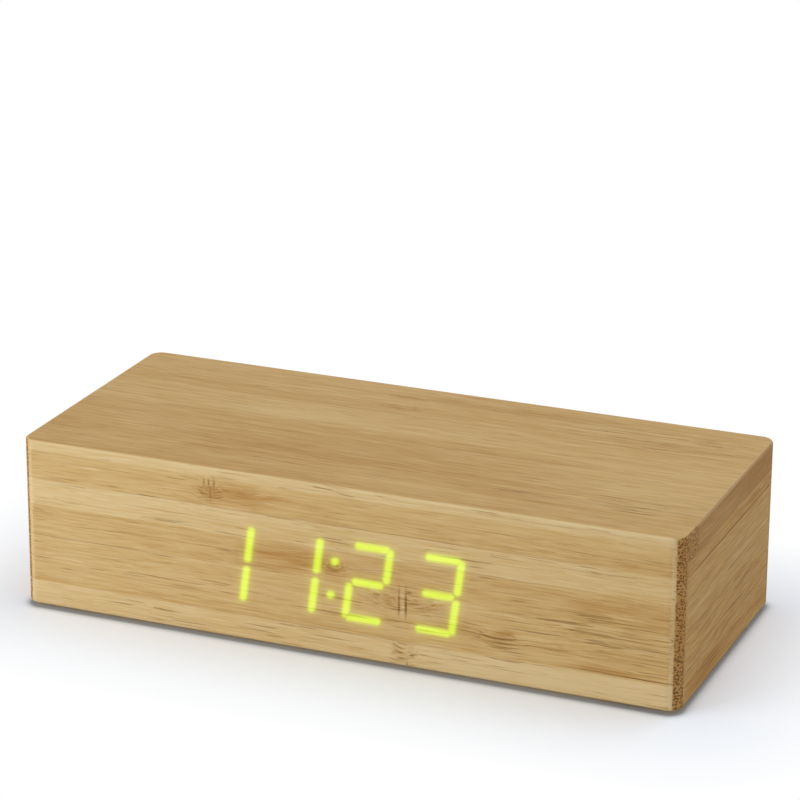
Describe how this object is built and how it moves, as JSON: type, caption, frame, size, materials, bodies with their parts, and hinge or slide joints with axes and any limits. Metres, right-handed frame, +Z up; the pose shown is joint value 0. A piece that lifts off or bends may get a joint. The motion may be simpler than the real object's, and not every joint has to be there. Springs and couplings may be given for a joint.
{
  "type": "desk clock",
  "caption": "Bamboo block desk clock with a slanted green digital display glowing through its front, a power socket behind, and keys and a battery door below.",
  "frame": {"origin": "centre of the footprint, on the surface that the rubber feet stand on", "axes": "+Z up, the display faces -Y, +X to the right as the display is read"},
  "size_m": [0.166, 0.072, 0.043],
  "materials": {
    "bamboo_top": "sanded bamboo, clear matt varnish",
    "bamboo_front": "sanded bamboo, clear matt varnish",
    "bamboo_back": "sanded bamboo, clear matt varnish",
    "bamboo_end": "sanded bamboo, clear matt varnish",
    "bamboo_base": "sanded bamboo, bare",
    "softwood": "sawn",
    "zinc_steel": "zinc plated",
    "rubber": "matt",
    "white_film": "frosted film",
    "white_plastic": "moulded",
    "lit_resin": "clear resin, lit",
    "dark_resin": "clear resin, unlit",
    "led_chip": "light-emitting chip",
    "circuit_board": "solder mask",
    "black_epoxy": "moulded epoxy",
    "grey_vinyl": "ribbon insulation",
    "black_plastic": "moulded, fine texture",
    "cell_can": "plain printed sleeve",
    "nickel": "nickel plated",
    "red_vinyl": "wire insulation",
    "black_vinyl": "wire insulation",
    "gold": "gold flash",
    "aluminium_can": "drawn can"
  },
  "bodies": {
    "casing": {"top_board": "bamboo_top", "front_board": "bamboo_front", "back_board": "bamboo_back", "left_end_panel": "bamboo_end", "right_end_panel": "bamboo_end", "base_board": "bamboo_base", "corner_blocks": "softwood", "base_screws": "zinc_steel", "rubber_feet": "rubber", "display_diffuser": "white_film", "display_reflector": "white_plastic", "lit_segments": "lit_resin", "dark_segments": "dark_resin", "led_chips": "led_chip", "display_board": "circuit_board", "display_driver_chip": "black_epoxy", "display_connector": "white_plastic", "display_spacers": "white_plastic", "display_screws": "zinc_steel", "ribbon_cable": "grey_vinyl", "battery_tray": "black_plastic", "battery_cells": "cell_can", "battery_contacts": "nickel", "battery_springs": "nickel", "tray_screws": "zinc_steel", "battery_lead_positive": "red_vinyl", "battery_lead_negative": "black_vinyl", "battery_plug": "white_plastic", "battery_socket": "white_plastic", "main_board": "circuit_board", "board_spacers": "white_plastic", "board_screws": "zinc_steel", "board_connector": "white_plastic", "usb_shell": "nickel", "usb_insert": "black_plastic", "usb_contacts": "gold", "switch_bodies": "black_plastic", "controller_chip": "black_epoxy", "clock_crystal": "nickel", "capacitors": "aluminium_can", "buzzer": "black_plastic", "microphone": "aluminium_can"},
    "door": {"battery_door": "black_plastic"},
    "set_key": {"set_button": "black_plastic", "set_plunger": "white_plastic"},
    "up_key": {"up_button": "black_plastic", "up_plunger": "white_plastic"},
    "down_key": {"down_button": "black_plastic", "down_plunger": "white_plastic"}
  },
  "joints": [
    {"name": "battery_door_slide", "type": "slide", "parent": "casing", "child": "door", "axis": [1, 0, 0], "range_m": [0, 0.0045]},
    {"name": "set_button_press", "type": "slide", "parent": "casing", "child": "set_key", "axis": [0, 0, 1], "range_m": [0, 0.0005], "stiffness_N_per_m": 600},
    {"name": "up_button_press", "type": "slide", "parent": "casing", "child": "up_key", "axis": [0, 0, 1], "range_m": [0, 0.0005], "stiffness_N_per_m": 600},
    {"name": "down_button_press", "type": "slide", "parent": "casing", "child": "down_key", "axis": [0, 0, 1], "range_m": [0, 0.0005], "stiffness_N_per_m": 600}
  ]
}
